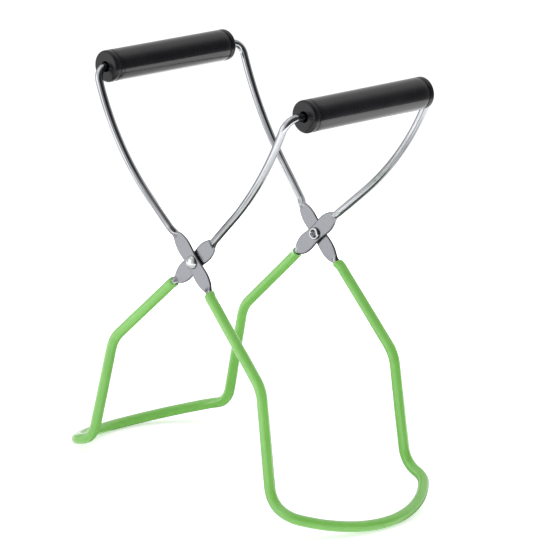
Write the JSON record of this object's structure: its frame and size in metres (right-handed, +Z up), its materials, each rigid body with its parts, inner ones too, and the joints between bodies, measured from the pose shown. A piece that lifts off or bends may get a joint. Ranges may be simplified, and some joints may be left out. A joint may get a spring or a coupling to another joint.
{
  "type": "jar lifter",
  "caption": "Scissor-action canning jar lifter of bent plated wire, with vinyl-coated arc jaws, riveted eyes and round black roller grips.",
  "frame": {"origin": "on the surface the lifter stands on, midway between the two jaws and between the two pivots", "axes": "+Z up, +X towards the outer half's jaw, Y along the hinge axis with -Y the near side"},
  "size_m": [0.1972, 0.1038, 0.212],
  "materials": {
    "plated_wire": "bright plated steel wire, satin on the pressed eyes",
    "rivet_steel": "bright plated rivet steel",
    "green_vinyl": "satin-gloss dipped vinyl, light green",
    "grip_plastic": "glossy moulded black plastic",
    "cap_plastic": "moulded black plastic, a little duller than the grips"
  },
  "bodies": {
    "outer_half": {"outer_wire_frame": "plated_wire", "outer_jaw_coating": "green_vinyl", "rivet_near": "rivet_steel", "rivet_far": "rivet_steel"},
    "inner_half": {"inner_wire_frame": "plated_wire", "inner_jaw_coating": "green_vinyl"},
    "outer_grip": {"outer_grip_tube": "grip_plastic", "outer_grip_cap_near": "cap_plastic", "outer_grip_cap_far": "cap_plastic"},
    "inner_grip": {"inner_grip_tube": "grip_plastic", "inner_grip_cap_near": "cap_plastic", "inner_grip_cap_far": "cap_plastic"}
  },
  "joints": [
    {"name": "scissor_hinge", "type": "hinge", "parent": "outer_half", "child": "inner_half", "pos_m": [0, 0, 0.11923], "axis": [0, -1, 0], "range_deg": [-60, 58]},
    {"name": "outer_grip_spin", "type": "hinge", "parent": "outer_half", "child": "outer_grip", "pos_m": [-0.06535, -0.0025, 0.20403], "axis": [0, 1, 0], "continuous": true},
    {"name": "inner_grip_spin", "type": "hinge", "parent": "inner_half", "child": "inner_grip", "pos_m": [0.06535, 0.0025, 0.20403], "axis": [0, 1, 0], "continuous": true}
  ]
}
